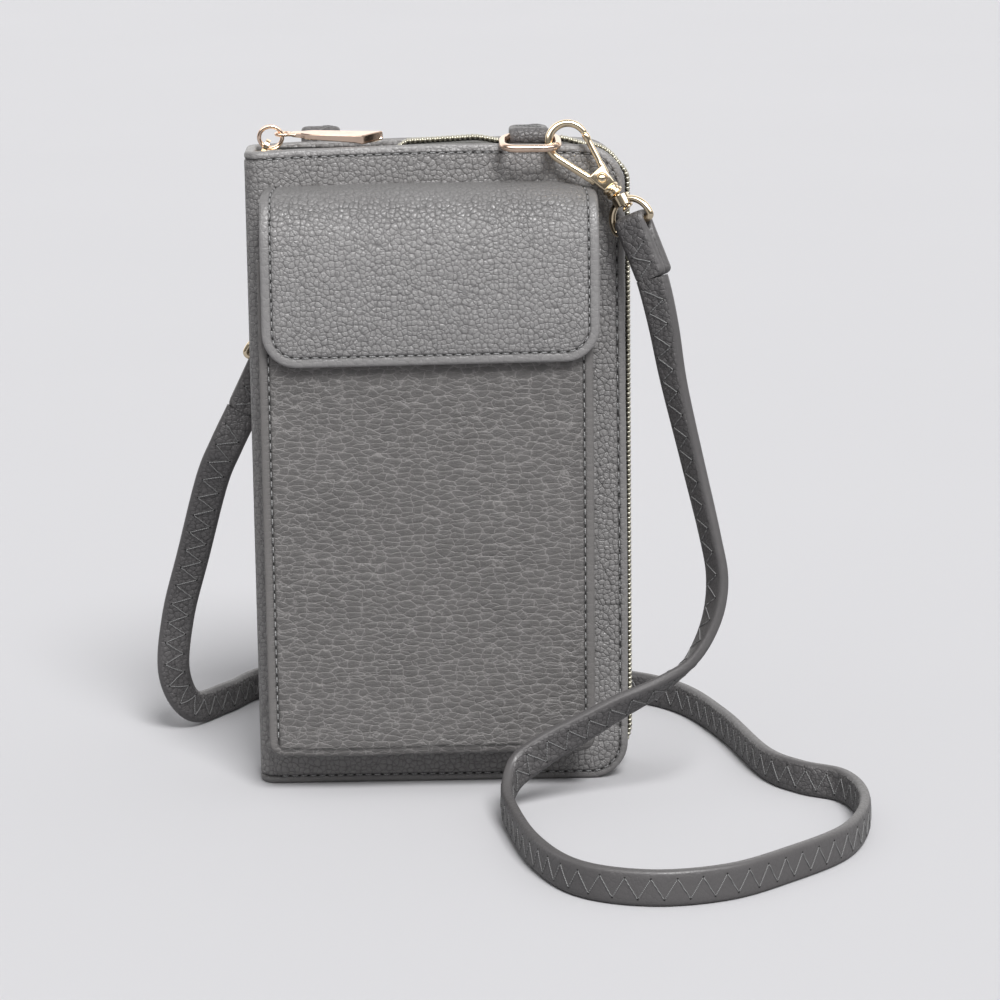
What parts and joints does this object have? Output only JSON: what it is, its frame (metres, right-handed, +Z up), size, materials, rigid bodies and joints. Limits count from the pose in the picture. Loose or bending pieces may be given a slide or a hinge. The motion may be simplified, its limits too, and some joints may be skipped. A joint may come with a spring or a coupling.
{
  "type": "phone crossbody wallet",
  "caption": "Grey pebbled-leather crossbody phone wallet: zip-round wallet, boxed phone pocket with magnetic flap, and a shoulder strap on two swivel snap hooks.",
  "frame": {"origin": "on the ground under the middle of the wallet and its hardware, the strap left out", "axes": "+X along the front towards the zip's side, +Y from the pocket front to the back cover, +Z up along the wallet's height"},
  "size_m": [0.2107, 0.2254, 0.1981],
  "materials": {
    "leather": "pebbled, satin",
    "strap_leather": "pebbled, satin",
    "lining": "woven, matte",
    "board": "pressed fibre, matte",
    "tape": "woven, matte",
    "zip_teeth": "polished",
    "gold": "polished light gold",
    "rose_gold": "polished rose gold"
  },
  "bodies": {
    "wallet": {"outer_cover": "leather", "front_board": "board", "back_board": "board", "front_lining": "lining", "back_lining": "lining", "spine_lining": "lining", "card_slots_front": "lining", "card_slots_back": "lining", "coin_pocket": "lining", "zip_tape_front": "tape", "zip_tape_back": "tape", "zip_teeth_front": "zip_teeth", "zip_teeth_back": "zip_teeth", "zip_stops": "gold", "pocket_front": "leather", "pocket_gusset": "leather", "pocket_lining": "lining", "pocket_back_lining": "lining", "pocket_magnet": "gold", "snap_washers": "gold", "flap_shoulder": "leather", "flap_shoulder_lining": "lining", "tab_left": "strap_leather", "tab_right": "strap_leather", "eye_right": "gold", "eye_left": "gold", "strap": "strap_leather", "strap_end_right": "strap_leather", "strap_end_left": "strap_leather"},
    "flap": {"flap_outer": "leather", "flap_board": "board", "flap_lining": "lining", "flap_magnet": "gold"},
    "slider": {"zip_slider": "gold"},
    "pull_ring": {"pull_ring": "gold"},
    "pull_tab": {"pull_tab": "gold"},
    "ring_right": {"ring_right": "rose_gold"},
    "ring_left": {"ring_left": "rose_gold"},
    "hook_right": {"hook_right": "gold", "gate_rivet_right": "gold", "gate_spring_right": "gold"},
    "gate_right": {"gate_right": "gold"},
    "hook_left": {"hook_left": "gold", "gate_rivet_left": "gold", "gate_spring_left": "gold"},
    "gate_left": {"gate_left": "gold"}
  },
  "joints": [
    {"name": "flap_lift", "type": "hinge", "parent": "wallet", "child": "flap", "pos_m": [0, -0.02292, 0.175], "axis": [-1, 0, 0], "range_deg": [0, 160]},
    {"name": "zip_slide", "type": "slide", "parent": "wallet", "child": "slider", "axis": [0.9987, 0, 0.0506], "range_m": [0, 0.03], "deforming": ["zip_teeth_front", "zip_teeth_back"]},
    {"name": "pull_ring_swing", "type": "hinge", "parent": "slider", "child": "pull_ring", "pos_m": [-0.04998, 0.00458, 0.18979], "axis": [0.8902, 0, -0.4555], "range_deg": [-20, 2]},
    {"name": "pull_tab_swing", "type": "hinge", "parent": "pull_ring", "child": "pull_tab", "pos_m": [-0.04848, 0.00458, 0.19273], "axis": [0, -1, 0], "range_deg": [0, 125]},
    {"name": "ring_right_swing", "type": "hinge", "parent": "wallet", "child": "ring_right", "pos_m": [0, -0.00142, 0.1924], "axis": [-1, 0, 0], "range_deg": [0, 7]},
    {"name": "ring_left_swing", "type": "hinge", "parent": "wallet", "child": "ring_left", "pos_m": [0, 0.01848, 0.165], "axis": [1, 0, 0], "range_deg": [-4, 0]},
    {"name": "hook_right_swivel", "type": "hinge", "parent": "wallet", "child": "hook_right", "pos_m": [0.047, -0.01142, 0.181], "axis": [-0.6665, 0.1929, 0.7201], "range_deg": [-12, 7]},
    {"name": "gate_right_open", "type": "hinge", "parent": "hook_right", "child": "gate_right", "pos_m": [0.047, -0.01142, 0.181], "axis": [0, -0.9659, 0.2588], "range_deg": [0, 20], "stiffness_Nm_per_rad": 0.02, "springref_deg": -17.19},
    {"name": "hook_left_swivel", "type": "hinge", "parent": "wallet", "child": "hook_left", "pos_m": [-0.04559, 0.02177, 0.13759], "axis": [0.4384, 0, 0.8988], "range_deg": [0, 10]},
    {"name": "gate_left_open", "type": "hinge", "parent": "hook_left", "child": "gate_left", "pos_m": [-0.04559, 0.02177, 0.13759], "axis": [0.6885, -0.6428, -0.3358], "range_deg": [0, 20], "stiffness_Nm_per_rad": 0.02, "springref_deg": -17.19}
  ]
}
